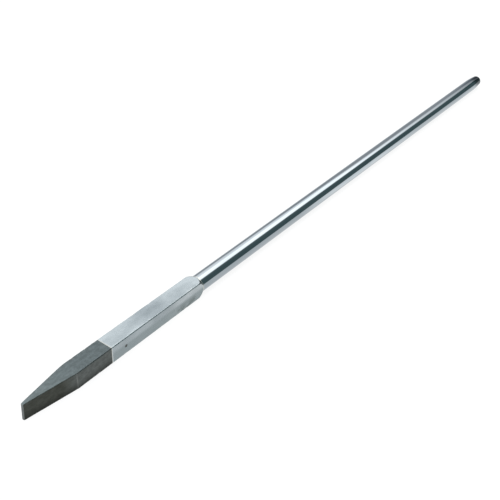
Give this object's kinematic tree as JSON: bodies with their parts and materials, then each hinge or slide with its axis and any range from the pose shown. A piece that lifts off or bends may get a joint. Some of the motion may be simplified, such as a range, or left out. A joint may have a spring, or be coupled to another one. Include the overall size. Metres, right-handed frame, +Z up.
{
  "type": "long cold chisel",
  "caption": "Long rigid metalworking chisel: a wedge-ground bit brazed and pinned into a square body, with a round polished shank and a tapered struck end.",
  "frame": {"origin": "middle of the bounding box's underside, on the surface that the tool lies on", "axes": "+X along the tool from the cutting edge towards the struck end; +Z up, parallel to the cutting edge"},
  "size_m": [0.8, 0.016, 0.016],
  "materials": {
    "bit_steel": "ground and heat-darkened, mottled grey to near black",
    "body_steel": "bright milled flats with fine scuffs",
    "shank_steel": "mirror polished",
    "pin_steel": "dark, flush-dressed ends",
    "braze": "pale silver braze, dressed flush"
  },
  "bodies": {
    "root": {"chisel_bit": "bit_steel", "square_body": "body_steel", "round_shank": "shank_steel", "bit_pin": "pin_steel", "front_braze": "braze", "rear_braze": "braze"}
  },
  "joints": []
}
